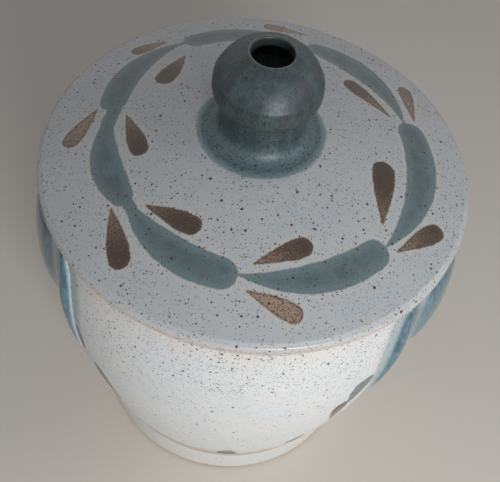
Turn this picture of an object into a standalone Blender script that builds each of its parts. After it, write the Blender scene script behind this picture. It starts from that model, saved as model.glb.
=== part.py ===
"""Onion keeper: a stoneware crock with a domed lid, two strap handles and a hollow, vented knob.

The jar is a thrown wall on a separate foot ring, with two pulled handles pressed onto its shoulder.
The lid is a domed plate with a locating ring below it, and a stem that carries the hollow knob cap.
The lid lifts straight up. Turned shapes are profiles of (radius, height) spun about Z.
Lengths are in metres, and Z = 0 is the surface that the crock stands on.
"""

import math

import bmesh
import bpy
from mathutils import Vector
from mathutils.geometry import interpolate_bezier

# Fits
SEAT_GAP = 0.0003  # between two pieces of clay that touch
RING_CLEARANCE = 0.0015  # round the locating ring, so that the lid drops in by itself

# Foot ring
FOOT_RADIUS = 0.0868
FOOT_HEIGHT = 0.0307
FOOT_FLARE = 0.0014  # how much wider the ring is at its top than where it stands
FOOT_WALL = 0.0080
FOOT_ROUND = 0.0025

# Jar
JAR_HEIGHT = 0.2162
RIM_RADIUS = 0.1055
WALL = 0.0080
RIM_ROUND = 0.0020
RIM_PULL = Vector((0.002, -0.029))  # the wall's curve leaves the rim this way
BELLY_SWELL = 0.0141  # and is drawn out past the rim by this much, which makes the belly
BELLY_PULL = 0.106  # at this height over the heel
HEEL_RADIUS = 0.0896
HEEL_ROUND = 0.0030
FLOOR_LIFT = 0.0080  # from the table to the underside of the floor
FLOOR = 0.0085
BOWL_RISE = 0.0300  # the inside bottom is rounded up to this height above the floor
BOWL_PULL = 0.0170
BOWL_LEAN = 0.0050

# Lid plate
LID_OVERHANG = 0.0045  # past the jar's rim
LID_EDGE = 0.0065
LID_RISE = 0.0238  # the dome's rise over its edge, at the axis
LID_CURVE = 1.5
LID_SHELL = 0.0070
LID_TOP_ROUND = 0.0022
LID_UNDER_ROUND = 0.0012
BORE_RADIUS = 0.0130  # air way up through the lid and the stem

# Locating ring
RING_WALL = 0.0075
RING_DEPTH = 0.0140
RING_ROUND = 0.0020

# Knob
STEM_HEIGHT = 0.0182  # from the dome at the axis to the cap
STEM_TOP_RADIUS = 0.0220
STEM_NECK_RADIUS = 0.0207
STEM_FLARE_RADIUS = 0.0285
STEM_FLARE_EDGE = 0.0011
STEM_FLARE_PULL = 0.0055
STEM_WAIST_DROP = 0.0087  # from the stem's top down to where the flare starts
STEM_WAIST_PULL = 0.0088
STEM_TOP_PULL = 0.0026
CAP_SEAT_RADIUS = 0.0230
CAP_RADIUS = 0.0260
CAP_DOME = 0.0218
CAP_UNDERCUT = 0.0072  # from the cap's widest line down to its seat
CAP_SIDE_PULL = 0.0040
CAP_SEAT_PULL = 0.0010
CAP_SHELL = 0.0050
CAP_FLOOR = 0.0032  # thickness of the cap's inner ledge at the bore
VENT_RADIUS = 0.0098
VENT_ROUND = 0.0012

# Handles. Drops are measured down from the jar's rim.
HANDLE_REACH = math.radians(38.3)  # from the middle of the strap to the middle of each pressed end
STRAP_FREE = math.radians(28.0)  # the strap stands off the wall as far round as this
STRAP_THICKNESS = 0.0050
STRAP_STAND = 0.0063  # greatest gap behind the strap
STRAP_LEAN = 0.50  # share of that gap by which the strap's top leans in to the wall
STRAP_TOP_DROP = 0.0260
STRAP_FOOT_DROP = 0.0760
END_WIDTH = 0.0100  # round the wall
THUMB_DENT = 0.70  # share of the thickness that a thumb pressed in beside each end
DENT_START = math.radians(25.5)  # from the middle of the strap to where that dent starts
END_THICKNESS = 0.0044
END_TOP_DROP = 0.0085
END_SHOULDER = 0.0160  # how far the end's top is rounded down at its outer side
END_FOOT_DROP = 0.0430
TAIL_TIP_DROP = 0.1090
TAIL_TIP_THICKNESS = 0.0014
TAIL_TAPER = 1.2

# Fineness
TURNS = 64
KNOB_TURNS = 40
STRAP_STEPS = 9
END_STEPS = 10
SECTION_POINTS = 24

HEEL_HEIGHT = FOOT_HEIGHT + SEAT_GAP + HEEL_ROUND
LID_SEAT = JAR_HEIGHT + SEAT_GAP
LID_RADIUS = RIM_RADIUS + LID_OVERHANG
EDGE_TOP = LID_SEAT + LID_EDGE


def clear_scene():
    for obj in list(bpy.data.objects):
        bpy.data.objects.remove(obj, do_unlink=True)


def make_collection(name):
    collection = bpy.data.collections.new(name)
    bpy.context.scene.collection.children.link(collection)
    return collection


def make_material(name, colour, roughness):
    material = bpy.data.materials.new(name)
    material.use_nodes = True
    shader = material.node_tree.nodes["Principled BSDF"]
    shader.inputs["Base Color"].default_value = (*colour, 1.0)
    shader.inputs["Roughness"].default_value = roughness
    shader.inputs["Metallic"].default_value = 0.0
    return material


def arc(centre, radius, start, end, steps):
    """Points (radius, height) on an arc, with its angles in degrees from the outward direction."""
    angles = [math.radians(start + (end - start) * i / steps) for i in range(steps + 1)]
    return [(centre[0] + radius * math.cos(a), centre[1] + radius * math.sin(a)) for a in angles]


def bend(start, pull, pull_end, end, count):
    """Points on a Bezier curve from start to end, both included."""
    points = interpolate_bezier(
        Vector((*start, 0)), Vector((*pull, 0)), Vector((*pull_end, 0)), Vector((*end, 0)), count
    )
    return [(p.x, p.y) for p in points]


def blend(low, high, share):
    return low + (high - low) * share


def spread(low, high, count):
    return [blend(low, high, i / (count - 1)) for i in range(count)]


def turned(name, profile, collection, turns, closed):
    """A profile of (radius, height), spun about Z with a Screw modifier."""
    mesh = bpy.data.meshes.new(name)
    edges = [(i, i + 1) for i in range(len(profile) - 1)]
    if closed:
        edges.append((len(profile) - 1, 0))
    mesh.from_pydata([(r, 0.0, z) for r, z in profile], edges, [])
    obj = bpy.data.objects.new(name, mesh)
    collection.objects.link(obj)
    screw = obj.modifiers.new("Turn", "SCREW")
    screw.axis = "Z"
    screw.angle = math.tau
    screw.steps = turns
    screw.render_steps = turns
    screw.use_merge_vertices = True
    screw.merge_threshold = 0.00001
    screw.use_smooth_shade = True
    return obj


WALL_LINE = bend(
    (RIM_RADIUS, JAR_HEIGHT),
    Vector((RIM_RADIUS, JAR_HEIGHT)) + RIM_PULL,
    (RIM_RADIUS + BELLY_SWELL, HEEL_HEIGHT + BELLY_PULL),
    (HEEL_RADIUS, HEEL_HEIGHT),
    121,
)


def wall_radius(height, inset=0.0):
    """The jar's outer radius at a height, less an inset that is measured square to the wall."""
    for (r1, z1), (r0, z0) in zip(WALL_LINE, WALL_LINE[1:]):
        if z0 <= height:
            break
    slope = (r1 - r0) / (z1 - z0)
    return r0 + slope * (height - z0) - inset * math.hypot(1.0, slope)


def dome_height(radius):
    """The height of the lid's upper face."""
    return EDGE_TOP + LID_RISE * (1.0 - (radius / LID_RADIUS) ** LID_CURVE)


def jar_heights(top):
    return spread(top, HEEL_HEIGHT, 11)


def make_jar(collection):
    """The thrown wall and floor, stepped in at the heel to sit in the foot ring."""
    floor_top = FLOOR_LIFT + FLOOR
    bowl_top = floor_top + BOWL_RISE
    bowl_radius = wall_radius(bowl_top, WALL)
    socket = FOOT_RADIUS - FOOT_WALL - SEAT_GAP
    underside = FOOT_HEIGHT + SEAT_GAP
    lip = JAR_HEIGHT - RIM_ROUND
    mouth = wall_radius(lip, WALL)
    rim_outer = wall_radius(lip)
    profile = [(0.0, floor_top)]
    profile += bend(
        (bowl_radius - BOWL_RISE, floor_top),
        (bowl_radius - BOWL_RISE + BOWL_PULL, floor_top),
        (bowl_radius - BOWL_LEAN, bowl_top - BOWL_PULL),
        (bowl_radius, bowl_top),
        7,
    )
    profile += [(wall_radius(z, WALL), z) for z in spread(bowl_top, lip, 8)[1:-1]]
    profile += arc((mouth + RIM_ROUND, lip), RIM_ROUND, 180, 90, 3)
    profile += arc((rim_outer - RIM_ROUND, lip), RIM_ROUND, 90, 0, 3)
    profile += [(wall_radius(z), z) for z in jar_heights(lip)[1:]]
    profile += arc((HEEL_RADIUS - HEEL_ROUND, HEEL_HEIGHT), HEEL_ROUND, 0, -90, 3)[1:]
    profile += [(socket, underside), (socket, FLOOR_LIFT + HEEL_ROUND)]
    profile += arc((socket - HEEL_ROUND, FLOOR_LIFT + HEEL_ROUND), HEEL_ROUND, 0, -90, 2)[1:]
    profile += [(0.0, FLOOR_LIFT)]
    return turned("crock_body", profile, collection, TURNS, closed=False)


def make_foot(collection):
    """The ring that the crock stands on, a little wider at its top."""
    inner = FOOT_RADIUS - FOOT_WALL
    top = FOOT_RADIUS + FOOT_FLARE
    shoulder = FOOT_HEIGHT - FOOT_ROUND
    profile = arc((top - FOOT_ROUND, shoulder), FOOT_ROUND, 90, 0, 3)
    profile += arc((FOOT_RADIUS - FOOT_ROUND, FOOT_ROUND), FOOT_ROUND, 0, -90, 3)
    profile += [(inner, 0.0), (inner, FOOT_HEIGHT)]
    return turned("foot_ring", profile, collection, TURNS, closed=True)


def ring_outer_radius():
    """The locating ring fits the narrowest part of the jar's mouth that it drops through."""
    depths = spread(JAR_HEIGHT - RIM_ROUND, JAR_HEIGHT - RING_DEPTH, 6)
    return min(wall_radius(z, WALL) for z in depths) - RING_CLEARANCE


def make_lid_plate(collection):
    """The domed plate. Its rim rests flat on the jar, and air passes through its middle."""
    seat_inner = ring_outer_radius() - RING_WALL
    shell_top = dome_height(seat_inner) - LID_SHELL
    edge = LID_RADIUS - LID_TOP_ROUND
    profile = [(r, dome_height(r)) for r in spread(BORE_RADIUS, edge, 9)]
    profile += arc((edge, EDGE_TOP - LID_TOP_ROUND), LID_TOP_ROUND, 65, 0, 3)
    profile += arc(
        (LID_RADIUS - LID_UNDER_ROUND, LID_SEAT + LID_UNDER_ROUND), LID_UNDER_ROUND, 0, -90, 2
    )
    profile += [(seat_inner, LID_SEAT), (seat_inner, shell_top)]
    profile += [(r, dome_height(r) - LID_SHELL) for r in spread(seat_inner, BORE_RADIUS, 6)[1:]]
    return turned("lid_plate", profile, collection, TURNS, closed=True)


def make_locating_ring(collection):
    """The ring under the lid that keeps it centred in the mouth."""
    outer = ring_outer_radius()
    inner = outer - RING_WALL
    top = LID_SEAT - SEAT_GAP
    foot = top - RING_DEPTH + RING_ROUND
    profile = [(outer, top)]
    profile += arc((outer - RING_ROUND, foot), RING_ROUND, 0, -90, 3)
    profile += arc((inner + RING_ROUND, foot), RING_ROUND, -90, -180, 3)
    profile += [(inner, top)]
    return turned("lid_locating_ring", profile, collection, TURNS, closed=True)


def cap_seat():
    return EDGE_TOP + LID_RISE + STEM_HEIGHT


def make_stem(collection):
    """The hollow stem between the lid and the knob. Its flared foot follows the dome."""
    top = cap_seat() - SEAT_GAP
    base = dome_height(STEM_FLARE_RADIUS) + SEAT_GAP
    flare_top = base + STEM_FLARE_EDGE
    waist = top - STEM_WAIST_DROP
    profile = bend(
        (STEM_TOP_RADIUS, top),
        (STEM_NECK_RADIUS, top - STEM_TOP_PULL),
        (STEM_NECK_RADIUS, waist + STEM_TOP_PULL),
        (STEM_NECK_RADIUS, waist),
        4,
    )
    profile += bend(
        (STEM_NECK_RADIUS, waist),
        (STEM_NECK_RADIUS, waist - STEM_WAIST_PULL),
        (STEM_FLARE_RADIUS - STEM_FLARE_PULL, flare_top),
        (STEM_FLARE_RADIUS, flare_top),
        7,
    )[1:]
    profile += [(r, dome_height(r) + SEAT_GAP) for r in spread(STEM_FLARE_RADIUS, BORE_RADIUS, 4)]
    profile += [(BORE_RADIUS, top)]
    return turned("knob_stem", profile, collection, KNOB_TURNS, closed=True)


def cap_point(angle, inset):
    """A point on the cap's dome, with the angle in degrees up from its widest line."""
    a = math.radians(angle)
    centre = cap_seat() + CAP_UNDERCUT
    return ((CAP_RADIUS - inset) * math.cos(a), centre + (CAP_DOME - inset) * math.sin(a))


def make_cap(collection):
    """The hollow knob. The vent at its crown lets air out of the crock."""
    seat = cap_seat()
    widest = seat + CAP_UNDERCUT
    lip_angle = math.degrees(math.acos((VENT_RADIUS + VENT_ROUND) / CAP_RADIUS))
    inner_angle = math.degrees(math.acos(VENT_RADIUS / (CAP_RADIUS - CAP_SHELL)))
    lip = cap_point(lip_angle, 0.0)
    cavity = CAP_RADIUS - CAP_SHELL
    profile = [(VENT_RADIUS, lip[1] - VENT_ROUND)]
    profile += [(VENT_RADIUS + 0.3 * VENT_ROUND, lip[1] - 0.2 * VENT_ROUND)]
    profile += [cap_point(a, 0.0) for a in spread(lip_angle, 0.0, 9)]
    profile += bend(
        (CAP_RADIUS, widest),
        (CAP_RADIUS, widest - CAP_SIDE_PULL),
        (CAP_SEAT_RADIUS + CAP_SEAT_PULL, seat + CAP_SEAT_PULL),
        (CAP_SEAT_RADIUS, seat),
        5,
    )[1:]
    profile += [(BORE_RADIUS, seat), (BORE_RADIUS, seat + CAP_FLOOR)]
    profile += [(cavity, widest)]
    profile += [cap_point(a, CAP_SHELL) for a in spread(0.0, inner_angle, 6)[1:]]
    return turned("knob_cap", profile, collection, KNOB_TURNS, closed=True)


def on_wall(angle, drop, proud, side):
    """A point that stands proud of the jar's wall. side is 1 for the handle at +X and -1 at -X."""
    height = JAR_HEIGHT - drop
    radius = wall_radius(height) + proud
    return (side * radius * math.cos(angle), radius * math.sin(angle), height)


def end_half_angle():
    return 0.5 * END_WIDTH / wall_radius(JAR_HEIGHT - END_FOOT_DROP)


def handle_angles():
    """Where the handle's upright sections stand, from one end round to the other."""
    outward = spread(0.0, STRAP_FREE, STRAP_STEPS)
    outward += spread(STRAP_FREE, HANDLE_REACH, END_STEPS)[1:]
    for i in range(1, END_STEPS + 1):
        outward.append(HANDLE_REACH + end_half_angle() * math.sin(0.5 * math.pi * i / END_STEPS))
    return [-angle for angle in reversed(outward[1:])] + outward


def handle_section(angle, side):
    """An upright section: an oval where the strap is free, and flat to the wall where it is pressed."""
    reach = abs(angle)
    share = min(1.0, reach / HANDLE_REACH)
    aside = min(1.0, abs(reach - HANDLE_REACH) / end_half_angle())
    beyond = aside if reach > HANDLE_REACH else 0.0
    free = min(1.0, reach / STRAP_FREE)
    pressed = max(0.0, 2.0 * free - 1.0) ** 2
    top = blend(STRAP_TOP_DROP, END_TOP_DROP, share**2) + END_SHOULDER * beyond**2
    strap_foot = blend(STRAP_FOOT_DROP, END_FOOT_DROP, share**4)
    foot = max(strap_foot, blend(TAIL_TIP_DROP, END_FOOT_DROP, aside**TAIL_TAPER))
    dent = min(1.0, max(0.0, (reach - DENT_START) / (HANDLE_REACH - DENT_START)))
    stand = STRAP_STAND * math.cos(0.5 * math.pi * free) ** 1.5
    points = []
    for i in range(SECTION_POINTS):
        turn = math.tau * i / SECTION_POINTS
        drop = blend(top, foot, 0.5 - 0.5 * math.sin(turn))
        down = max(0.0, (drop - END_FOOT_DROP) / (TAIL_TIP_DROP - END_FOOT_DROP))
        end_thickness = blend(END_THICKNESS, TAIL_TIP_THICKNESS, down)
        thickness = blend(STRAP_THICKNESS, end_thickness, pressed) * math.sqrt(1.0 - beyond**2)
        thickness *= 1.0 - THUMB_DENT * math.sin(math.pi * dent)
        gap = SEAT_GAP + stand * (1.0 - STRAP_LEAN * (foot - drop) / (foot - top))
        out = abs(math.cos(turn)) ** (1.0 - 0.5 * pressed)
        if math.cos(turn) > 0.0:
            proud = gap + 0.5 * thickness * (1.0 - pressed + out * (1.0 + pressed))
        else:
            proud = gap + 0.5 * thickness * (1.0 - pressed) * (1.0 - out)
        points.append(on_wall(angle, drop, proud, side))
    return points


def weld_and_orient(mesh):
    bm = bmesh.new()
    bm.from_mesh(mesh)
    bmesh.ops.remove_doubles(bm, verts=bm.verts, dist=0.00001)
    bmesh.ops.recalc_face_normals(bm, faces=bm.faces)
    bm.to_mesh(mesh)
    bm.free()


def make_handle(name, side, collection):
    """A strap bowed off the shoulder. Its ends are pressed onto the wall and run down it as tails."""
    angles = handle_angles()
    mesh = bpy.data.meshes.new(name)
    verts = [point for angle in angles for point in handle_section(angle, side)]
    faces = []
    for ring in range(len(angles) - 1):
        for i in range(SECTION_POINTS):
            low = ring * SECTION_POINTS
            after = (i + 1) % SECTION_POINTS
            faces.append((low + i, low + after, low + SECTION_POINTS + after, low + SECTION_POINTS + i))
    mesh.from_pydata(verts, [], faces)
    weld_and_orient(mesh)
    mesh.shade_smooth()
    mesh.set_sharp_from_angle(angle=math.radians(50))
    handle = bpy.data.objects.new(name, mesh)
    collection.objects.link(handle)
    return handle


def parent_to(empty, objects):
    for obj in objects:
        obj.parent = empty
        obj.matrix_parent_inverse = empty.matrix_world.inverted()


def make_empty(name, height, collection):
    empty = bpy.data.objects.new(name, None)
    empty.location = (0.0, 0.0, height)
    collection.objects.link(empty)
    bpy.context.view_layer.update()
    return empty


def build():
    clear_scene()
    parts = make_collection("onion_keeper")

    glaze = make_material("speckled_pale_glaze", (0.55, 0.54, 0.52), 0.35)
    foot_glaze = make_material("pale_foot_glaze", (0.58, 0.57, 0.55), 0.40)
    lid_glaze = make_material("speckled_lid_glaze", (0.53, 0.53, 0.52), 0.35)
    ring_clay = make_material("bare_ring_clay", (0.48, 0.40, 0.32), 0.80)
    stem_glaze = make_material("blue_green_stem_glaze", (0.09, 0.14, 0.15), 0.30)
    cap_glaze = make_material("blue_green_knob_glaze", (0.08, 0.12, 0.14), 0.28)
    left_glaze = make_material("teal_left_handle_glaze", (0.07, 0.16, 0.19), 0.20)
    right_glaze = make_material("teal_right_handle_glaze", (0.07, 0.16, 0.19), 0.20)

    jar = make_jar(parts)
    jar.data.materials.append(glaze)
    foot = make_foot(parts)
    foot.data.materials.append(foot_glaze)

    right = make_handle("handle_right", 1, parts)
    right.data.materials.append(right_glaze)
    left = make_handle("handle_left", -1, parts)
    left.data.materials.append(left_glaze)

    plate = make_lid_plate(parts)
    plate.data.materials.append(lid_glaze)
    ring = make_locating_ring(parts)
    ring.data.materials.append(ring_clay)
    stem = make_stem(parts)
    stem.data.materials.append(stem_glaze)
    cap = make_cap(parts)
    cap.data.materials.append(cap_glaze)

    jar_empty = make_empty("jar", 0.0, parts)
    parent_to(jar_empty, [jar, foot, right, left])
    lid_empty = make_empty("lid_lift", LID_SEAT, parts)
    parent_to(lid_empty, [plate, ring, stem, cap])
    bpy.context.view_layer.update()


build()
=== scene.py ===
# Onion keeper: a thrown stoneware crock with a domed lid, a hollow vented knob and two pulled
# strap handles, dipped in a speckled grey-white glaze and painted with blue-green and brown brush
# strokes. Sizes are in millimetres unless they say otherwise.

import math

import bpy
import numpy as np
from mathutils import Matrix, Vector
from mathutils.geometry import interpolate_bezier


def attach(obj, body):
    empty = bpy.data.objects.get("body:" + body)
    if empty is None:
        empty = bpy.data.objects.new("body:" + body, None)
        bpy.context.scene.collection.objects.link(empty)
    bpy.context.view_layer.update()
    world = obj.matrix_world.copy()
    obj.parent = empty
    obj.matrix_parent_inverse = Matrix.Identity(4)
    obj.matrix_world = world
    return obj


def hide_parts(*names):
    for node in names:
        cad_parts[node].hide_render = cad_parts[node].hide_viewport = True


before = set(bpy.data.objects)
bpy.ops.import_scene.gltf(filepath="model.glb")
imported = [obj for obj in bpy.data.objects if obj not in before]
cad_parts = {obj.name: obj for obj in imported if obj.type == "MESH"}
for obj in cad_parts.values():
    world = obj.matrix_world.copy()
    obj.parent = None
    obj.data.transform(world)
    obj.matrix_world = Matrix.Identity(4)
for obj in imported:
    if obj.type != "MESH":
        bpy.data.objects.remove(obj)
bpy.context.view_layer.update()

# Stage: a plain pale floor under soft studio light. A window-like lamp stands low in front, a little to
# the right, with a weaker one beside it at the right and a faint one at the back left. The world lights
# the shadows.

FLOOR_SIZE = 6.0  # metres
FLOOR_COLOUR = "#D9D0C4"
FLOOR_CLOUD = "#DDD5CA"
BACKDROP_COLOUR = "#E4E0DA"
SKY_COLOUR = "#DDE2EA"
SKY_STRENGTH = 0.29
DAYLIGHT = (0.95, 0.98, 1.0)


def linear(code):
    """An sRGB hex colour as linear RGBA."""
    channels = [int(code[i : i + 2], 16) / 255.0 for i in (1, 3, 5)]
    return (*[c / 12.92 if c <= 0.04045 else ((c + 0.055) / 1.055) ** 2.4 for c in channels], 1.0)


def new_material(name):
    """A material that is ready for its nodes."""
    material = bpy.data.materials.new(name)
    material.use_nodes = True
    return material


def add_node(owner, kind, *values, **settings):
    """Adds a node. Each value goes to its next socket: an output is linked, and None is passed by."""
    node = owner.node_tree.nodes.new("ShaderNode" + kind)
    for name, value in settings.items():
        setattr(node, name, value)
    sockets = [socket for socket in node.inputs if socket.enabled]
    for socket, value in zip(sockets, values):
        if isinstance(value, bpy.types.NodeSocket):
            owner.node_tree.links.new(value, socket)
        elif value is not None:
            socket.default_value = value
    return [socket for socket in node.outputs if socket.enabled][0]


def add_lamp(name, place, target, size, power):
    """A square area lamp that faces a target. Lengths are in metres and power is in watts."""
    lamp = bpy.data.lights.new(name, "AREA")
    lamp.shape = "SQUARE"
    lamp.size = size
    lamp.energy = power
    lamp.color = DAYLIGHT
    holder = bpy.data.objects.new(name, lamp)
    aim = Vector(target) - Vector(place)
    holder.matrix_world = Matrix.Translation(place) @ aim.to_track_quat("-Z", "Y").to_matrix().to_4x4()
    bpy.context.scene.collection.objects.link(holder)


bpy.ops.object.select_all(action="DESELECT")
bpy.ops.mesh.primitive_plane_add(size=FLOOR_SIZE)
floor = bpy.context.object
floor.name = "floor"
floor_paint = new_material("matt_emulsion_painted_board")
floor_cloud = add_node(floor_paint, "TexNoise", None, 9.0, 3.0)
floor_tone = add_node(
    floor_paint, "Mix", floor_cloud, linear(FLOOR_COLOUR), linear(FLOOR_CLOUD), data_type="RGBA"
)
floor_shader = floor_paint.node_tree.nodes["Principled BSDF"]
floor_paint.node_tree.links.new(floor_tone, floor_shader.inputs["Base Color"])
floor_shader.inputs["Roughness"].default_value = 0.75
floor.data.materials.append(floor_paint)

add_lamp("window_front", (0.40, -0.84, 0.52), (0.0, 0.0, 0.14), 0.32, 6.6)
add_lamp("window_right", (0.90, -0.05, 0.66), (0.0, 0.0, 0.16), 0.40, 1.0)
add_lamp("fill_back_left", (-0.95, 0.75, 0.85), (0.0, 0.0, 0.14), 0.90, 0.3)

# Matt surfaces are lit by the sky's colour, while the camera and reflections see a pale backdrop.
world = bpy.data.worlds.new("studio")
world.use_nodes = True
bpy.context.scene.world = world
ambient = world.node_tree.nodes["Background"]
ambient.inputs["Color"].default_value = linear(SKY_COLOUR)
ambient.inputs["Strength"].default_value = SKY_STRENGTH
backdrop = add_node(world, "Background", linear(BACKDROP_COLOUR), 1.0)
rays = add_node(world, "LightPath").node.outputs
seen = add_node(world, "Math", rays["Is Camera Ray"], rays["Is Glossy Ray"], operation="MAXIMUM")
seen = add_node(world, "Math", seen, rays["Is Transmission Ray"], operation="MAXIMUM")
pick = add_node(world, "MixShader", seen, ambient.outputs[0], backdrop)
world.node_tree.links.new(pick, world.node_tree.nodes["World Output"].inputs["Surface"])

scene = bpy.context.scene
scene.view_settings.view_transform = "Standard"

# The camera looks down at the front from just above, turned a little on its own axis.
LENS = 54.31
CAMERA_PLACE = (0.0, -0.2598, 0.5122)  # metres
CAMERA_YAW = -0.72
CAMERA_PITCH = 54.49  # below the horizon
CAMERA_ROLL = 9.233

camera_data = bpy.data.cameras.new("camera")
camera_data.lens = LENS
camera_data.sensor_width = 36.0
camera_data.clip_start = 0.01
camera = bpy.data.objects.new("camera", camera_data)
camera.matrix_world = (
    Matrix.Translation(CAMERA_PLACE)
    @ Matrix.Rotation(math.radians(CAMERA_YAW), 4, "Z")
    @ Matrix.Rotation(math.radians(90.0 - CAMERA_PITCH), 4, "X")
    @ Matrix.Rotation(math.radians(CAMERA_ROLL), 4, "Z")
)
scene.collection.objects.link(camera)
scene.camera = camera

# Jar: the thrown wall and floor, with a rolled rim and faint rings from the potter's fingers. It is
# dipped in a grey-white stoneware glaze that breaks warm where it is thin and is peppered with iron
# specks. A few leaves and drops are brushed low on the front and the back, and the handles' teal
# thins out onto the wall beside them.

MM = 0.001
SEAT_GAP = 0.3  # between two pieces of clay that touch
WALL = 8.0
RIM_RADIUS = 105.5
RIM_HEIGHT = 216.2
RIM_ROUND = 2.0
HEEL_RADIUS = 89.6
HEEL_ROUND = 3.0
FOOT_HEIGHT = 30.7
FOOT_RADIUS = 86.8
FOOT_WALL = 8.0
HEEL_HEIGHT = FOOT_HEIGHT + SEAT_GAP + HEEL_ROUND
RIM_PULL = (2.0, -29.0)  # the wall's curve leaves the rim this way
HEEL_PULL = (30.0, 106.0)  # and the heel this way, which makes the belly
FLOOR_UNDER = 8.0
JAR_FLOOR = 8.5
FLOOR_TOP = FLOOR_UNDER + JAR_FLOOR
BOWL_RISE = 30.0  # the inside bottom is rounded up to this height above the floor
BOWL_TOP = FLOOR_TOP + BOWL_RISE
BOWL_PULL = 17.0
BOWL_LEAN = 5.0
FINGER_RING = 0.10  # height of the throwing rings outside
FINGER_PITCH = 8.5
FINGER_FADE = 67.0  # the rings outside come and go over this height
INNER_RING = 0.25
INNER_PITCH = 11.0


def arc(centre, radius, start, end, steps):
    """Points (radius, height) on an arc, with its angles in degrees from the outward direction."""
    angles = [math.radians(start + (end - start) * i / steps) for i in range(steps + 1)]
    return [(centre[0] + radius * math.cos(a), centre[1] + radius * math.sin(a)) for a in angles]


def bend(start, pull, pull_end, end, count):
    """Points on a Bezier curve from start to end, both included."""
    corners = [Vector((*corner, 0.0)) for corner in (start, pull, pull_end, end)]
    return [(p.x, p.y) for p in interpolate_bezier(*corners, count)]


def throw(name, profile, turns, closed):
    """Draws a profile of (radius, height) from one vertex and spins it, as on a wheel."""
    bpy.ops.object.select_all(action="DESELECT")
    bpy.ops.mesh.primitive_plane_add(size=MM)
    piece = bpy.context.object
    piece.name = name
    piece.data.name = name
    bpy.ops.object.mode_set(mode="EDIT")
    bpy.ops.mesh.select_all(action="SELECT")
    bpy.ops.mesh.merge(type="CENTER")
    bpy.ops.transform.translate(value=(profile[0][0] * MM, 0.0, profile[0][1] * MM))
    path = profile + profile[:1] if closed else profile
    for (r0, z0), (r1, z1) in zip(path, path[1:]):
        move = ((r1 - r0) * MM, 0.0, (z1 - z0) * MM)
        bpy.ops.mesh.extrude_region_move(TRANSFORM_OT_translate={"value": move})
    bpy.ops.mesh.select_all(action="SELECT")
    bpy.ops.mesh.spin(steps=turns, angle=math.tau, center=(0.0, 0.0, 0.0), axis=(0.0, 0.0, 1.0))
    bpy.ops.mesh.select_all(action="SELECT")
    bpy.ops.mesh.remove_doubles(threshold=0.000005)
    bpy.ops.mesh.normals_make_consistent(inside=False)
    bpy.ops.object.mode_set(mode="OBJECT")
    bpy.ops.object.shade_smooth_by_angle(angle=math.radians(40))
    return piece


def corners_of(piece):
    """The mesh's vertices in millimetres, one row each."""
    flat = np.empty(len(piece.data.vertices) * 3)
    piece.data.vertices.foreach_get("co", flat)
    return flat.reshape(-1, 3) / MM


def store(piece, name, values):
    """Keeps one number for each vertex, for the material to read."""
    layer = piece.data.attributes.new(name, "FLOAT", "POINT")
    layer.data.foreach_set("value", np.asarray(values, dtype=np.float32))


# A brush stroke's shape is its width along its length, both as shares, from the thin tip to the head.
BRUSH_DABS = 110  # a stroke is drawn as this many round dabs of the brush
DRY_LOAD = 0.55  # paint left in the brush at the tip, as a share of the head's
BRUSH_REACH = 20.0  # distances from a stroke past this are all the same to its paint
FAR = 1000.0  # where no stroke reaches
DROP_SHAPE = ((0.0, 0.09), (0.20, 0.34), (0.50, 0.72), (0.80, 1.0), (1.0, 0.97))
LEAF_SHAPE = ((0.0, 0.08), (0.25, 0.62), (0.55, 1.0), (0.80, 0.75), (1.0, 0.12))


def stroke(tip, head, width, shape, tail_width=0.0):
    """Dabs (x, y, radius, share) along a stroke from its thin tip to its loaded head."""
    share = np.linspace(0.0, 1.0, BRUSH_DABS)
    radius = 0.5 * width * np.interp(share, [s for s, _ in shape], [w for _, w in shape])
    radius = np.maximum(radius, 0.5 * tail_width)
    start = np.array(tip, dtype=float)
    along = np.array(head, dtype=float) - start
    length = np.hypot(*along)
    reach = share * (length - 0.5 * width * shape[-1][1])
    x = start[0] + along[0] / length * reach
    y = start[1] + along[1] / length * reach
    return np.stack([x, y, radius, share], axis=1)


def brush(piece, name, places, strokes):
    """Stores how far each vertex lies from the nearest stroke's edge, and how loaded the brush was."""
    nearest = np.full(len(places), FAR)
    load = np.zeros(len(places))
    for dabs, strength in strokes:
        for x, y, radius, share in dabs:
            gap = np.hypot(places[:, 0] - x, places[:, 1] - y) - radius
            closer = gap < nearest
            nearest[closer] = gap[closer]
            load[closer] = strength * (DRY_LOAD + (1.0 - DRY_LOAD) * share)
    store(piece, name, np.minimum(nearest, BRUSH_REACH))
    store(piece, name + "_load", load)


wall_line = bend(
    (RIM_RADIUS, RIM_HEIGHT),
    (RIM_RADIUS + RIM_PULL[0], RIM_HEIGHT + RIM_PULL[1]),
    (HEEL_RADIUS + HEEL_PULL[0], HEEL_HEIGHT + HEEL_PULL[1]),
    (HEEL_RADIUS, HEEL_HEIGHT),
    161,
)
wall_heights = [z for _, z in reversed(wall_line)]
wall_radii = [r for r, _ in reversed(wall_line)]


def wall_radius(height, inset=0.0):
    """The jar's outer radius, less an inset that is measured square to the wall."""
    here = np.interp(height, wall_heights, wall_radii)
    slope = np.interp(height + 1.0, wall_heights, wall_radii) - here
    return here - inset * np.hypot(1.0, slope)


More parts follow.
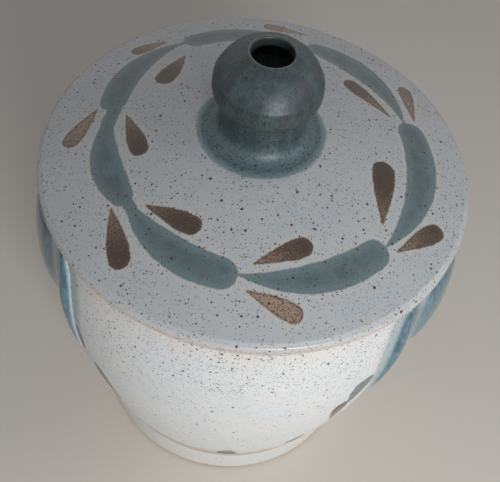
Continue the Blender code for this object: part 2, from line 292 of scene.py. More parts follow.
lip = RIM_HEIGHT - RIM_ROUND
socket = FOOT_RADIUS - FOOT_WALL - SEAT_GAP
jar_profile = [(0.0, FLOOR_TOP), (20.0, FLOOR_TOP), (40.0, FLOOR_TOP)]
bowl_radius = wall_radius(BOWL_TOP, WALL)
jar_profile += bend(
    (bowl_radius - BOWL_RISE, FLOOR_TOP),
    (bowl_radius - BOWL_RISE + BOWL_PULL, FLOOR_TOP),
    (bowl_radius - BOWL_LEAN, BOWL_TOP - BOWL_PULL),
    (bowl_radius, BOWL_TOP),
    12,
)
for z in np.linspace(BOWL_TOP, lip, 64)[1:-1]:
    jar_profile.append((wall_radius(z, WALL) + INNER_RING * math.sin(math.tau * z / INNER_PITCH), z))
jar_profile += arc((wall_radius(lip, WALL) + RIM_ROUND, lip), RIM_ROUND, 180, 90, 6)
jar_profile += arc((wall_radius(lip) - RIM_ROUND, lip), RIM_ROUND, 90, 0, 6)
for z in np.linspace(lip, HEEL_HEIGHT, 112)[1:]:
    ripple = FINGER_RING * math.sin(math.tau * z / FINGER_PITCH) * math.sin(math.tau * z / FINGER_FADE)
    jar_profile.append((wall_radius(z) + ripple, z))
jar_profile += arc((HEEL_RADIUS - HEEL_ROUND, HEEL_HEIGHT), HEEL_ROUND, 0, -90, 6)[1:]
jar_profile += [(socket, FOOT_HEIGHT + SEAT_GAP), (socket, FLOOR_UNDER + HEEL_ROUND)]
jar_profile += arc((socket - HEEL_ROUND, FLOOR_UNDER + HEEL_ROUND), HEEL_ROUND, 0, -90, 4)[1:]
jar_profile += [(40.0, FLOOR_UNDER), (0.0, FLOOR_UNDER)]
jar = throw("jar", jar_profile, 360, closed=False)

# The strokes are laid out on the wall unrolled flat: millimetres round from the front, and height.
UNROLLED_RADIUS = 105.0
jar_corners = corners_of(jar)
around = np.arctan2(jar_corners[:, 0], -jar_corners[:, 1]) * UNROLLED_RADIUS
behind = np.arctan2(-jar_corners[:, 0], jar_corners[:, 1]) * UNROLLED_RADIUS
in_front = np.abs(around) < 0.5 * math.pi * UNROLLED_RADIUS
unrolled = np.stack([np.where(in_front, around, behind), jar_corners[:, 2]], axis=1)
inside = np.hypot(*jar_corners[:, :2].T) < wall_radius(jar_corners[:, 2]) - 0.5 * WALL
unrolled[inside] = FAR
leaves = [  # stroke and strength
    (stroke((76.0, 120.0), (79.0, 154.0), 14.0, DROP_SHAPE), 0.9),
    (stroke((-95.0, 110.0), (-88.0, 150.0), 13.0, LEAF_SHAPE), 0.8),
]
drops = [
    (stroke((73.5, 88.0), (69.0, 130.0), 10.5, DROP_SHAPE), 1.0),
    (stroke((-61.0, 74.0), (-77.5, 120.0), 9.5, DROP_SHAPE), 1.0),
    (stroke((11.0, 63.0), (9.0, 37.0), 14.0, DROP_SHAPE), 1.0),
    (stroke((58.0, 80.0), (53.5, 55.0), 12.0, DROP_SHAPE), 0.9),
]
washes = [
    (stroke((91.5, 98.0), (91.5, 207.0), 18.0, DROP_SHAPE), 1.0),
    (stroke((-91.5, 98.0), (-91.5, 207.0), 18.0, DROP_SHAPE), 1.0),
]
brush(jar, "green", unrolled, leaves)
brush(jar, "brown", unrolled, drops)
brush(jar, "teal", unrolled, washes)

GLAZE = "#DBDCDC"
GLAZE_COOL = "#D4D9DD"
GLAZE_WARM = "#DAD0C6"
IRON_TONES = ("#4E3D32", "#3A2C23", "#2A211A")  # of the small, middling and large specks
RUST = "#8A705C"
SPECK_EDGE = 0.10  # half the width of the soft line round a speck
SPECK_BLEED = 0.45  # how far its rust spreads
PIGMENT_GRAIN = 0.8
SKIN_GRAIN = 4.0  # the faint unevenness of a fired glaze
GLAZE_RELIEF = 0.10
SHOULDER_THIN = (188.0, 214.0)  # heights between which the glaze gets thin towards the rim
HEEL_THIN_AND_SHADE = (70.0, 42.0)  # and downwards to the heel, where it is partly thin glaze and partly painted shade
# browner still into the crease: partly toasted thin glaze, partly painted crease shade
HEEL_TOASTED_AND_SHADE = (54.0, 40.0)
PEPPER_CROWDED = (140.0, 200.0)  # heights between which the specks crowd together


def add_place(material):
    """The place on the piece in millimetres, so that a texture's scale is one over its grain."""
    place = add_node(material, "TexCoord").node.outputs["Object"]
    return add_node(material, "VectorMath", place, 1.0 / MM, operation="SCALE")


def add_specks(material, place, cell, size, keep):
    """(spot, bleed) of round specks: one to a cell at most, of which a share is kept. size is the
    radius of the largest."""
    spots = add_node(material, "TexVoronoi", place, 1.0 / cell)
    dice = add_node(material, "SeparateColor", spots.node.outputs["Color"]).node.outputs
    radius = add_node(material, "MapRange", dice[1], 0.0, 1.0, 0.5 * size / cell, size / cell)
    edge = add_node(material, "Math", spots, radius, operation="SUBTRACT")
    spot = add_node(
        material, "MapRange", edge, SPECK_EDGE / cell, -SPECK_EDGE / cell, 0.0, 1.0,
        interpolation_type="SMOOTHSTEP",
    )
    bleed = add_node(
        material, "MapRange", edge, SPECK_BLEED / cell, 0.0, 0.0, 1.0, interpolation_type="SMOOTHSTEP"
    )
    kept = add_node(material, "Math", dice[0], keep, operation="LESS_THAN")
    spot = add_node(material, "Math", spot, kept, operation="MULTIPLY")
    return spot, add_node(material, "Math", bleed, kept, operation="MULTIPLY")


def add_ground(material, place, base, cool, warm):
    """The glaze itself: nearly even, with faint clouds where it lies thicker or thinner."""
    clouds = add_node(material, "TexNoise", place, 1.0 / 30.0, 3.0)
    cooler = add_node(
        material, "MapRange", clouds, 0.40, 0.66, 0.0, 0.6, interpolation_type="SMOOTHSTEP"
    )
    ground = add_node(material, "Mix", cooler, linear(base), linear(cool), data_type="RGBA")
    mottle = add_node(material, "TexNoise", place, 1.0 / 6.0, 4.0, 0.6)
    warmer = add_node(
        material, "MapRange", mottle, 0.42, 0.75, 0.0, 0.3, interpolation_type="SMOOTHSTEP"
    )
    return add_node(material, "Mix", warmer, ground, linear(warm), data_type="RGBA")


def add_iron(material, place, colour, crowd, tones=IRON_TONES, rust_tone=RUST):
    """Lays three sizes of iron speck over a colour, and returns it with the spots of the largest,
    which are pits in the glaze. The finest real specks are too small to show at this scale, so the
    fine size is drawn coarser."""
    patches = add_node(material, "TexNoise", place, 1.0 / 16.0, 2.0)
    crowding = add_node(material, "MapRange", patches, 0.32, 0.68, 0.55, 1.45)
    crowding = add_node(material, "Math", crowding, crowd, operation="MULTIPLY")
    shiver = add_node(material, "TexNoise", place, 1.1, 2.0).node.outputs["Color"]
    frayed = add_node(material, "VectorMath", shiver, (0.8, 0.8, 0.8), place, operation="MULTIPLY_ADD")
    layers = (  # cell, size, share kept, strength of the spot, its tone and the strength of its rust
        (1.15, 0.30, 0.75, 0.88, tones[0], 0.00),
        (2.00, 0.44, 0.55, 0.95, tones[1], 0.20),
        (3.40, 0.68, 0.34, 0.98, tones[2], 0.35),
    )
    for cell, size, keep, strength, tone, rust in layers:
        share = add_node(material, "Math", crowding, keep, operation="MULTIPLY")
        spot, bleed = add_specks(material, frayed, cell, size, share)
        bleed = add_node(material, "Math", bleed, rust, operation="MULTIPLY")
        colour = add_node(material, "Mix", bleed, colour, linear(rust_tone), data_type="RGBA")
        strong = add_node(material, "Math", spot, strength, operation="MULTIPLY")
        colour = add_node(material, "Mix", strong, colour, linear(tone), data_type="RGBA")
    return colour, spot


def read_stroke(material, place, name, soft, fray):
    """(cover, load, distance) of a brushed colour. Its edge wanders a little and frays into grains."""
    distance = add_node(material, "Attribute", attribute_name=name).node.outputs["Fac"]
    load = add_node(material, "Attribute", attribute_name=name + "_load").node.outputs["Fac"]
    drift = add_node(material, "TexNoise", place, 1.0 / 4.0, 3.0)
    drift = add_node(material, "MapRange", drift, 0.25, 0.75, -0.22, 0.22)
    edge = add_node(material, "Math", distance, drift, operation="ADD")
    grain = add_node(material, "TexNoise", place, 1.0 / PIGMENT_GRAIN, 3.0, 0.65)
    grain = add_node(material, "MapRange", grain, 0.25, 0.75, -fray, fray)
    edge = add_node(material, "Math", edge, grain, operation="ADD")
    cover = add_node(
        material, "MapRange", edge, soft, -soft, 0.0, 1.0, interpolation_type="SMOOTHSTEP"
    )
    return cover, load, edge


def finish_glaze(material, colour, roughness, height, depth):
    """Joins a colour, a roughness and a height of 0 to 1 to the shader. depth is in millimetres."""
    shader = material.node_tree.nodes["Principled BSDF"]
    normal = add_node(material, "Bump", 1.0, depth * MM, None, height)
    material.node_tree.links.new(colour, shader.inputs["Base Color"])
    material.node_tree.links.new(roughness, shader.inputs["Roughness"])
    material.node_tree.links.new(normal, shader.inputs["Normal"])
    shader.inputs["IOR"].default_value = 1.50


# Tin-opacified stoneware glaze, dipped and fired in reduction: it looks like smooth eggshell, a
# little paler where it lies thick and warmer where it is thin, at the shoulder and at the heel. Towards
# the crease it turns warmer and browner, which is partly thin glaze and partly painted shade. Iron
# from the clay burns through it as brown specks, which crowd together near the rim.
jar_glaze = new_material("dipped_speckled_stoneware_glaze")
place = add_place(jar_glaze)
height = add_node(jar_glaze, "SeparateXYZ", place).node.outputs["Z"]
ground = add_ground(jar_glaze, place, GLAZE, GLAZE_COOL, GLAZE_WARM)
ragged = add_node(jar_glaze, "TexNoise", place, 1.0 / 10.0, 4.0)
ragged = add_node(jar_glaze, "MapRange", ragged, 0.25, 0.75, 0.4, 1.0)
shoulder = add_node(
    jar_glaze, "MapRange", height, *SHOULDER_THIN, 0.0, 0.55, interpolation_type="SMOOTHSTEP"
)
# Warmer towards the heel: partly thin glaze, partly painted shade above the crease.
heel = add_node(jar_glaze, "MapRange", height, *HEEL_THIN_AND_SHADE, 0.0, 0.75, interpolation_type="SMOOTHSTEP")
thin_and_painted_light = add_node(jar_glaze, "Math", shoulder, heel, operation="MAXIMUM")
thin_and_painted_light = add_node(jar_glaze, "Math", thin_and_painted_light, ragged, operation="MULTIPLY")
ground = add_node(jar_glaze, "Mix", thin_and_painted_light, ground, linear("#D8C9BD"), data_type="RGBA")
# Browner at the crease: partly toasted thin glaze, partly painted shade in the crease.
toasted = add_node(
    jar_glaze, "MapRange", height, *HEEL_TOASTED_AND_SHADE, 0.0, 0.70, interpolation_type="SMOOTHSTEP"
)
toasted = add_node(jar_glaze, "Math", toasted, ragged, operation="MULTIPLY")
ground = add_node(jar_glaze, "Mix", toasted, ground, linear("#A08468"), data_type="RGBA")
teal, _, _ = read_stroke(jar_glaze, place, "teal", 3.0, 0.3)
teal = add_node(jar_glaze, "Math", teal, 0.65, operation="MULTIPLY")
ground = add_node(jar_glaze, "Mix", teal, ground, linear("#8CA1A3"), data_type="RGBA")
green, _, _ = read_stroke(jar_glaze, place, "green", 0.6, 0.2)
brown, load, _ = read_stroke(jar_glaze, place, "brown", 0.6, 0.5)
green = add_node(jar_glaze, "Math", green, 0.92, operation="MULTIPLY")
ground = add_node(jar_glaze, "Mix", green, ground, linear("#616D69"), data_type="RGBA")
brown = add_node(jar_glaze, "Math", brown, load, operation="MULTIPLY")
ground = add_node(jar_glaze, "Mix", brown, ground, linear("#654C39"), data_type="RGBA")
crowd = add_node(
    jar_glaze, "MapRange", height, *PEPPER_CROWDED, 0.40, 1.45, interpolation_type="SMOOTHSTEP"
)
jar_colour, pits = add_iron(jar_glaze, place, ground, crowd)
skin = add_node(jar_glaze, "TexNoise", place, 1.0 / SKIN_GRAIN, 3.0)
jar_rough = add_node(jar_glaze, "MapRange", skin, 0.2, 0.8, 0.28, 0.38)
relief = add_node(jar_glaze, "Math", pits, -0.5, skin, operation="MULTIPLY_ADD")
finish_glaze(jar_glaze, jar_colour, jar_rough, relief, GLAZE_RELIEF)
jar.data.materials.append(jar_glaze)
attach(jar, "jar")
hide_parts("crock_body")

# Foot ring: the plain ring that the jar stands on. The glaze stops short of the underside, where the
# bare stoneware shows, because a glazed foot would stick to the kiln shelf.

FOOT_FLARE = 1.4  # how much wider the ring is at its top than where it stands
FOOT_ROUND = 2.5
FOOT_INNER_ROUND = 1.0
BARE_BAND = 1.6
CREASE_BROWN_AND_SHADE = (26.5, 30.0)  # heights between which the ring darkens up to the crease: brown glaze and painted shade

foot_top = FOOT_RADIUS + FOOT_FLARE
foot_inside = FOOT_RADIUS - FOOT_WALL
foot_profile = arc((foot_top - FOOT_ROUND, FOOT_HEIGHT - FOOT_ROUND), FOOT_ROUND, 90, 0, 8)
foot_profile += [(foot_top - 0.25 * FOOT_FLARE, 21.0), (foot_top - 0.65 * FOOT_FLARE, 12.0)]
foot_profile += arc((FOOT_RADIUS - FOOT_ROUND, FOOT_ROUND), FOOT_ROUND, 0, -90, 8)
foot_profile += arc((foot_inside + FOOT_INNER_ROUND, FOOT_INNER_ROUND), FOOT_INNER_ROUND, -90, -180, 3)
foot_profile += [(foot_inside, FOOT_HEIGHT)]
foot = throw("foot", foot_profile, 288, closed=True)

# The same glaze on a ring turned smooth: plainer and nearly free of specks. It is brown in patches up
# at the crease, which is partly brown glaze and partly painted shade in the crease, and its wiped edge
# lets the toasted stoneware show as a warm line.
foot_glaze = new_material("wiped_stoneware_glaze")
place = add_place(foot_glaze)
height = add_node(foot_glaze, "SeparateXYZ", place).node.outputs["Z"]
ground = add_ground(foot_glaze, place, "#DBD8D3", GLAZE_COOL, GLAZE_WARM)
drips = add_node(foot_glaze, "TexNoise", place, 1.0 / 9.0, 2.0)
drips = add_node(foot_glaze, "MapRange", drips, 0.2, 0.8, -0.6, 0.6)
height = add_node(foot_glaze, "Math", height, drips, operation="ADD")
toasted = add_node(
    foot_glaze, "MapRange", height, BARE_BAND + 3.0, BARE_BAND, 0.0, 0.5, interpolation_type="SMOOTHSTEP"
)
ground = add_node(foot_glaze, "Mix", toasted, ground, linear("#C9A988"), data_type="RGBA")
# Brown in patches up at the crease: partly brown glaze, partly painted crease shade.
crease_brown_and_shade = add_node(
    foot_glaze, "MapRange", height, *CREASE_BROWN_AND_SHADE, 0.0, 0.9, interpolation_type="SMOOTHSTEP"
)
patchy = add_node(foot_glaze, "TexNoise", place, 1.0 / 22.0, 3.0)
patchy = add_node(foot_glaze, "MapRange", patchy, 0.38, 0.62, 0.35, 1.0)
crease_brown_and_shade = add_node(foot_glaze, "Math", crease_brown_and_shade, patchy, operation="MULTIPLY")
ground = add_node(foot_glaze, "Mix", crease_brown_and_shade, ground, linear("#A0846B"), data_type="RGBA")
bare = add_node(foot_glaze, "MapRange", height, BARE_BAND + 0.3, BARE_BAND - 0.3, 0.0, 1.0)
ground = add_node(foot_glaze, "Mix", bare, ground, linear("#A98A6B"), data_type="RGBA")
foot_colour, _ = add_iron(foot_glaze, place, ground, 0.16)
skin = add_node(foot_glaze, "TexNoise", place, 1.0 / SKIN_GRAIN, 3.0)
foot_rough = add_node(foot_glaze, "MapRange", bare, 0.0, 1.0, 0.32, 0.85)
finish_glaze(foot_glaze, foot_colour, foot_rough, skin, GLAZE_RELIEF)
foot.data.materials.append(foot_glaze)
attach(foot, "jar")
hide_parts("foot_ring")

# Handles: two straps of clay, pulled by hand and pressed onto the shoulder while soft, with their ends
# smoothed down the wall. Their thick teal glaze is glossier than the rest, and it breaks pale and
# brown along the ridges.

PRESSED = 0.9968  # the ends are pressed onto the wall, with no seam left round them
SMOOTHING = 3  # times that each face is cut in four
RIDGE_SPREAD = 12  # times that a ridge's sharpness is evened out over its neighbours
RIDGE_PALE = (0.20, 0.42)  # sharpness of a ridge between which the glaze turns pale
RIDGE_BROWN = (0.42, 0.60)  # and brown
EDGE_THIN_AND_HIGHLIGHT = (2.8, 0.8)  # the glaze thins out where the clay stands less than this off the wall, and a painted highlight runs there
TEAL_RUN = (1.0, 1.0, 0.4)  # it has run, so its patches are drawn out downwards
TEAL_RELIEF = 0.20


def soften_handle(name, node):
    """A merged copy of the CAD handle, with its facets smoothed away."""
    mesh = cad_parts[node].data.copy()
    mesh.materials.clear()
    piece = bpy.data.objects.new(name, mesh)
    bpy.context.scene.collection.objects.link(piece)
    bpy.ops.object.select_all(action="DESELECT")
    piece.select_set(True)
    bpy.context.view_layer.objects.active = piece
    bpy.ops.object.mode_set(mode="EDIT")
    bpy.ops.mesh.select_all(action="SELECT")
    bpy.ops.mesh.remove_doubles(threshold=0.00001)
    bpy.ops.mesh.tris_convert_to_quads(face_threshold=math.radians(60), shape_threshold=math.radians(60))
    bpy.ops.transform.resize(value=(PRESSED, PRESSED, 1.0), center_override=(0.0, 0.0, 0.0))
    bpy.ops.object.mode_set(mode="OBJECT")
    for polygon in mesh.polygons:
        polygon.use_smooth = True
    smooth = piece.modifiers.new("smooth", "SUBSURF")
    smooth.levels = SMOOTHING
    smooth.render_levels = SMOOTHING
    bpy.ops.object.modifier_apply(modifier="smooth")
    return piece


def ridge_of(piece, places):
    """How sharply the surface bends outwards at each vertex, smoothed over its neighbours."""
    mesh = piece.data
    count = len(places)
    normal = np.empty(count * 3)
    mesh.vertices.foreach_get("normal", normal)
    normal = normal.reshape(-1, 3)
    ends = np.empty(len(mesh.edges) * 2, dtype=int)
    mesh.edges.foreach_get("vertices", ends)
    a, b = ends.reshape(-1, 2).T
    along = places[b] - places[a]
    length = np.maximum(np.linalg.norm(along, axis=1), 0.01)
    turn = np.einsum("ij,ij->i", normal[b] - normal[a], along) / length**2
    total = np.bincount(a, turn, count) + np.bincount(b, turn, count)
    links = np.maximum(np.bincount(a, minlength=count) + np.bincount(b, minlength=count), 1)
    ridge = total / links
    for _ in range(RIDGE_SPREAD):
        nearby = np.bincount(a, ridge[b], count) + np.bincount(b, ridge[a], count)
        ridge = 0.5 * ridge + 0.5 * nearby / links
    return ridge


# Thick teal glaze, brushed on over the clay and fluid in the kiln: glassy, deep where it pools and
# pale or brown where it has run thin over a ridge or a smoothed edge. The pale bluish-white line along
# the smoothed edge on the wall is partly thin glaze and partly a painted highlight.
teal_glaze = new_material("brushed_fluid_teal_glaze")
place = add_place(teal_glaze)
upright = add_node(teal_glaze, "VectorMath", place, TEAL_RUN, operation="MULTIPLY")
pool = add_node(teal_glaze, "TexNoise", upright, 1.0 / 5.0, 4.0, 0.6)
pooled = add_node(teal_glaze, "MapRange", pool, 0.32, 0.68, 0.0, 1.0, interpolation_type="SMOOTHSTEP")
colour = add_node(teal_glaze, "Mix", pooled, linear("#587C8C"), linear("#42616F"), data_type="RGBA")
mist = add_node(teal_glaze, "TexNoise", upright, 1.0 / 2.2, 4.0, 0.6)
misty = add_node(teal_glaze, "MapRange", mist, 0.45, 0.75, 0.0, 0.4, interpolation_type="SMOOTHSTEP")
colour = add_node(teal_glaze, "Mix", misty, colour, linear("#86A3AD"), data_type="RGBA")
bent = add_node(teal_glaze, "Attribute", attribute_name="ridge").node.outputs["Fac"]
fray = add_node(teal_glaze, "MapRange", mist, 0.2, 0.8, -0.07, 0.07)
bent = add_node(teal_glaze, "Math", bent, fray, operation="ADD")
pale = add_node(teal_glaze, "MapRange", bent, *RIDGE_PALE, 0.0, 0.50, interpolation_type="SMOOTHSTEP")
colour = add_node(teal_glaze, "Mix", pale, colour, linear("#A3B8BE"), data_type="RGBA")
broken = add_node(teal_glaze, "MapRange", bent, *RIDGE_BROWN, 0.0, 0.60, interpolation_type="SMOOTHSTEP")
colour = add_node(teal_glaze, "Mix", broken, colour, linear("#8F8470"), data_type="RGBA")
proud = add_node(teal_glaze, "Attribute", attribute_name="proud").node.outputs["Fac"]
proud = add_node(teal_glaze, "Math", mist, 1.6, proud, operation="MULTIPLY_ADD")
# Bluish-white along the tails' edge on the wall: partly thin glaze, partly a painted highlight.
thin_and_painted_light = add_node(teal_glaze, "MapRange", proud, *EDGE_THIN_AND_HIGHLIGHT, 0.0, 0.85, interpolation_type="SMOOTHSTEP")
colour = add_node(teal_glaze, "Mix", thin_and_painted_light, colour, linear("#C0CCD1"), data_type="RGBA")
freckle, _ = add_specks(teal_glaze, place, 2.4, 0.36, 0.45)
freckle = add_node(teal_glaze, "Math", freckle, 0.7, operation="MULTIPLY")
colour = add_node(teal_glaze, "Mix", freckle, colour, linear("#263236"), data_type="RGBA")
teal_rough = add_node(teal_glaze, "MapRange", mist, 0.3, 0.7, 0.12, 0.22)
finish_glaze(teal_glaze, colour, teal_rough, pool, TEAL_RELIEF)

for name, node in (("strap_right", "handle_right"), ("strap_left", "handle_left")):
    strap = soften_handle(name, node)
    places = corners_of(strap)
    store(strap, "ridge", ridge_of(strap, places))
    store(strap, "proud", np.hypot(*places[:, :2].T) - wall_radius(places[:, 2]))
    strap.data.materials.append(teal_glaze)
    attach(strap, "jar")
    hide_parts(node)

# Lid: a domed plate, thrown upside down, with a flat rim that overhangs the jar. A wreath of seven
# blue-green commas is brushed round it, each with a brown drop inside and outside. The paint of the
# knob runs out onto the lid in a ring.

LID_SEAT = RIM_HEIGHT + SEAT_GAP
LID_EDGE = 6.5
LID_OVERHANG = 4.5
LID_RADIUS = RIM_RADIUS + LID_OVERHANG
LID_RISE = 23.8
LID_CURVE = 1.5
LID_SHELL = 7.0
LID_TOP_ROUND = 2.2
LID_UNDER_ROUND = 1.2
BORE_RADIUS = 13.0
RING_INNER = 88.6
EDGE_TOP = LID_SEAT + LID_EDGE
WREATH_INNER = 54.0  # the wreath's part of the lid has finer rings, for the edges of its strokes
WREATH_OUTER = 102.0


def dome(radius):
    """Height of the lid's top at a distance from the axis."""
    return EDGE_TOP + LID_RISE * (1.0 - (radius / LID_RADIUS) ** LID_CURVE)


edge = LID_RADIUS - LID_TOP_ROUND
shell_top = dome(RING_INNER) - LID_SHELL
top_radii = [*np.linspace(BORE_RADIUS, WREATH_INNER, 30)]
top_radii += [*np.linspace(WREATH_INNER, WREATH_OUTER, 70)[1:]]
top_radii += [*np.linspace(WREATH_OUTER, edge, 8)[1:]]
lid_profile = [(r, dome(r)) for r in top_radii]
lid_profile += arc((edge, EDGE_TOP - LID_TOP_ROUND), LID_TOP_ROUND, 72, 0, 7)
lid_profile += arc((LID_RADIUS - LID_UNDER_ROUND, LID_SEAT + LID_UNDER_ROUND), LID_UNDER_ROUND, 0, -90, 5)
lid_profile += [(104.0, LID_SEAT), (96.0, LID_SEAT), (RING_INNER, LID_SEAT), (RING_INNER, shell_top)]
lid_profile += [(r, dome(r) - LID_SHELL) for r in np.linspace(RING_INNER, BORE_RADIUS, 20)[1:]]
lid = throw("lid", lid_profile, 480, closed=True)

COMMA_SHAPE = ((0.0, 0.05), (0.06, 0.17), (0.15, 0.35), (0.30, 0.62), (0.50, 0.88), (0.75, 1.0), (1.0, 0.92))
ARC_SHAPE = ((0.0, 0.05), (0.13, 0.28), (0.31, 0.58), (0.50, 0.86), (0.68, 1.0), (0.86, 0.93), (1.0, 0.72))


def polar(radius, degrees):
    """A place on the lid seen from above. Degrees run from the right-hand handle, against the clock."""
    turn = math.radians(degrees)
    return (radius * math.cos(turn), radius * math.sin(turn))


def comma(tail, head, width, bow, tail_width, shape=COMMA_SHAPE):
    """A comma that follows the wreath from (radius, degrees) at its tail to its round head. bow is
    how far its middle swings outwards."""
    dabs = stroke((0.0, 0.0), (1.0, 0.0), width, shape, tail_width)
    share = dabs[:, 3]
    end = head[1] - math.degrees(0.5 * shape[-1][1] * width / head[0])
    radius = tail[0] + (head[0] - tail[0]) * share + bow * np.sin(math.pi * share)
    turn = np.radians(tail[1] + (end - tail[1]) * share)
    dabs[:, 0] = radius * np.cos(turn)
    dabs[:, 1] = radius * np.sin(turn)
    return dabs


commas = [
    comma((74.5, 219.5), (80.0, 269.5), 16.0, 1.0, 5.5),
    comma((79.0, 269.5), (82.5, 322.0), 15.5, 1.0, 0.8),
    comma((83.0, 322.0), (81.5, 382.5), 17.0, 1.0, 0.8),
    comma((79.5, 22.5), (82.5, 77.0), 18.0, 1.0, 1.5, ARC_SHAPE),
    comma((82.0, 75.5), (83.5, 126.0), 15.0, 1.5, 2.0),
    comma((84.0, 126.0), (78.0, 175.0), 16.0, 1.5, 3.0),
    comma((75.0, 174.0), (75.5, 222.0), 15.5, 1.5, 7.5, ARC_SHAPE),
]
lid_drops = [  # tip and head as (radius, degrees), width and strength
    ((69.5, 227.0), (64.0, 251.5), 10.0, 1.00),
    ((73.5, 274.5), (66.5, 297.5), 9.5, 0.85),
    ((74.5, 328.0), (62.5, 357.0), 12.0, 1.00),
    ((73.0, 25.5), (66.0, 52.0), 9.5, 0.80),
    ((73.0, 79.0), (65.0, 103.0), 10.0, 0.90),
    ((71.0, 131.0), (61.5, 154.0), 11.0, 0.95),
    ((68.0, 177.5), (59.5, 203.0), 9.5, 0.90),
    ((82.5, 220.0), (97.5, 237.5), 10.5, 0.90),
    ((85.5, 272.5), (98.0, 288.0), 9.0, 0.45),
    ((88.0, 324.0), (99.0, 341.0), 9.5, 0.85),
    ((87.0, 23.5), (98.0, 40.5), 8.0, 0.60),
    ((96.0, 79.0), (98.5, 94.5), 8.0, 0.50),
    ((91.0, 130.5), (95.5, 143.5), 8.5, 0.65),
    ((84.5, 174.5), (95.5, 190.5), 9.5, 0.55),
]
lid_corners = corners_of(lid)
lid_places = lid_corners[:, :2].copy()
lid_reach = np.minimum(np.hypot(*lid_places.T), edge)
under = lid_corners[:, 2] < np.maximum(dome(lid_reach) - 0.5 * LID_SHELL, EDGE_TOP - LID_TOP_ROUND)
lid_places[under] = FAR
brush(lid, "green", lid_places, [(dabs, 1.0) for dabs in commas])
drop_strokes = []
for tip, head, width, strength in lid_drops:
    drop_strokes.append((stroke(polar(*tip), polar(*head), width, DROP_SHAPE), strength))
brush(lid, "brown", lid_places, drop_strokes)

HALO = (3.4, 0.4)  # distances from a stroke between which a cream halo forms
COMMA_DEEP = (-1.0, -5.5)  # depths inside a comma between which its wash gets darker
DROP_SEEP = (-2.4, -0.2)  # depths inside a drop between which its wash gets pale towards the edge
KNOB_PAINT_RADIUS = 32.1
KNOB_PAINT_EDGE = 0.8  # half the width of the soft line round the knob's paint
KNOB_PAINT_FADE = (33.0, 29.8)  # distances from the axis between which that paint gets darker
EDGE_HEIGHTS = (EDGE_TOP - 0.6, EDGE_TOP - 2.0)  # heights and distances from the axis between which
EDGE_REACH = (107.0, 108.6)  # the lid's top turns into its edge
EDGE_LINES = ((219.3, 0.45), (217.3, 0.35))  # height and half width of the brown lines round the edge


def add_reach(material, place):
    """The distance from the axis."""
    flat = add_node(material, "VectorMath", place, (1.0, 1.0, 0.0), operation="MULTIPLY")
    return add_node(material, "VectorMath", flat, operation="LENGTH")


# The same dipped glaze, painted a little greyer as shade, since the lid's flat top catches less of the
# low light than the wall, with washes of cobalt-green and of iron brushed over it before the firing.
# They sink in, so the edges look soft, a cream halo forms round them and pigment shows as fine grain.
# The glaze is thin on the lid's edge, which is warmer and has two faint brown lines.
lid_glaze = new_material("dipped_and_brushed_stoneware_glaze")
place = add_place(lid_glaze)
# The ground is the jar's glaze painted darker: painted shade on the lid's flat top.
ground = add_ground(lid_glaze, place, "#BDBFC0", "#B5BABE", "#BEB9B2")
out = add_reach(lid_glaze, place)
height = add_node(lid_glaze, "SeparateXYZ", place).node.outputs["Z"]

green, _, green_gap = read_stroke(lid_glaze, place, "green", 0.50, 0.20)
brown, load, brown_gap = read_stroke(lid_glaze, place, "brown", 0.45, 0.45)
gap = add_node(lid_glaze, "Math", green_gap, brown_gap, operation="MINIMUM")
halo = add_node(lid_glaze, "MapRange", gap, *HALO, 0.0, 0.45, interpolation_type="SMOOTHSTEP")
ground = add_node(lid_glaze, "Mix", halo, ground, linear("#CAC6BC"), data_type="RGBA")

deep = add_node(lid_glaze, "MapRange", green_gap, *COMMA_DEEP, 0.0, 0.85, interpolation_type="SMOOTHSTEP")
cloud = add_node(lid_glaze, "TexNoise", place, 1.0 / 7.0, 3.0)
cloud = add_node(lid_glaze, "MapRange", cloud, 0.3, 0.7, 0.35, 1.2)
deep = add_node(lid_glaze, "Math", deep, cloud, operation="MULTIPLY")
blue = add_node(lid_glaze, "Mix", deep, linear("#647A7E"), linear("#465A5E"), data_type="RGBA")
grain = add_node(lid_glaze, "TexNoise", place, 1.0 / PIGMENT_GRAIN, 3.0, 0.65)
grainy = add_node(lid_glaze, "MapRange", grain, 0.50, 0.72, 0.0, 0.40, interpolation_type="SMOOTHSTEP")
blue = add_node(lid_glaze, "Mix", grainy, blue, linear("#42545B"), data_type="RGBA")
green = add_node(lid_glaze, "Math", green, 0.97, operation="MULTIPLY")
painted = add_node(lid_glaze, "Mix", green, ground, blue, data_type="RGBA")

wash = add_node(lid_glaze, "MapRange", load, 0.35, 0.90, 0.0, 1.0, interpolation_type="SMOOTHSTEP")
rust = add_node(lid_glaze, "Mix", wash, linear("#A38C78"), linear("#4C3A30"), data_type="RGBA")
seep = add_node(lid_glaze, "MapRange", brown_gap, *DROP_SEEP, 0.0, 0.60, interpolation_type="SMOOTHSTEP")
rust = add_node(lid_glaze, "Mix", seep, rust, linear("#8E7058"), data_type="RGBA")
fringe = add_node(lid_glaze, "MapRange", brown_gap, -1.3, -0.3, 0.0, 0.10)
crust = add_node(lid_glaze, "Math", load, 0.20, fringe, operation="MULTIPLY_ADD")
crust = add_node(lid_glaze, "Math", crust, grain, operation="ADD")
crust = add_node(lid_glaze, "MapRange", crust, 0.60, 0.70, 0.0, 0.88, interpolation_type="SMOOTHSTEP")
rust = add_node(lid_glaze, "Mix", crust, rust, linear("#362A23"), data_type="RGBA")
painted = add_node(lid_glaze, "Mix", brown, painted, rust, data_type="RGBA")

